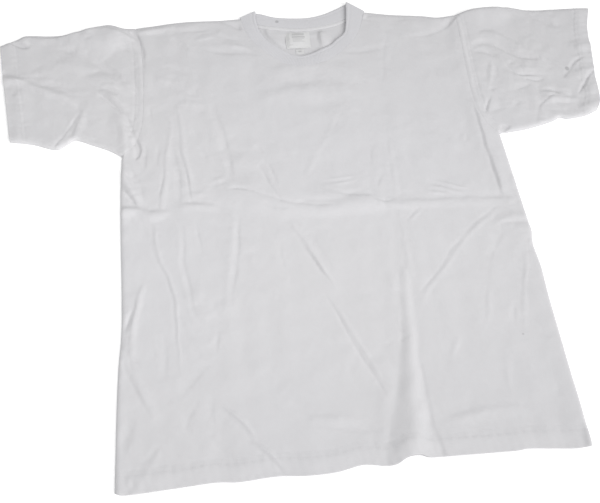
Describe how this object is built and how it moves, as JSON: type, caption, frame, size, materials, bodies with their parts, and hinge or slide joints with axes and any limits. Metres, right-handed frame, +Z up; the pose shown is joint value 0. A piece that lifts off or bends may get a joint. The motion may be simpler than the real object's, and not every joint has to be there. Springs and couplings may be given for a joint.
{
  "type": "crew neck t-shirt",
  "caption": "Crew neck t-shirt with short set-in sleeves and a rib neckband, laid flat on its back with its sleeves spread and its cloth softly creased.",
  "frame": {"origin": "middle of the whole underside, on the surface that the shirt lies on", "axes": "+X across the body from the sleeve_left side to the sleeve_right side, +Y from the hem to the collar, +Z up out of the surface, towards the front panel"},
  "size_m": [0.957, 0.7324, 0.0147],
  "materials": {
    "jersey": "matt white cotton single jersey",
    "rib": "matt white cotton 1x1 rib",
    "tape": "matt white cotton jersey tape",
    "woven_label": "smooth white woven satin",
    "size_tab": "smooth white woven satin"
  },
  "bodies": {
    "root": {"back_panel": "jersey", "front_panel": "jersey", "sleeve_left": "jersey", "sleeve_right": "jersey", "neckband": "rib", "neck_tape": "tape", "label": "woven_label", "size_tab": "size_tab"}
  },
  "joints": []
}
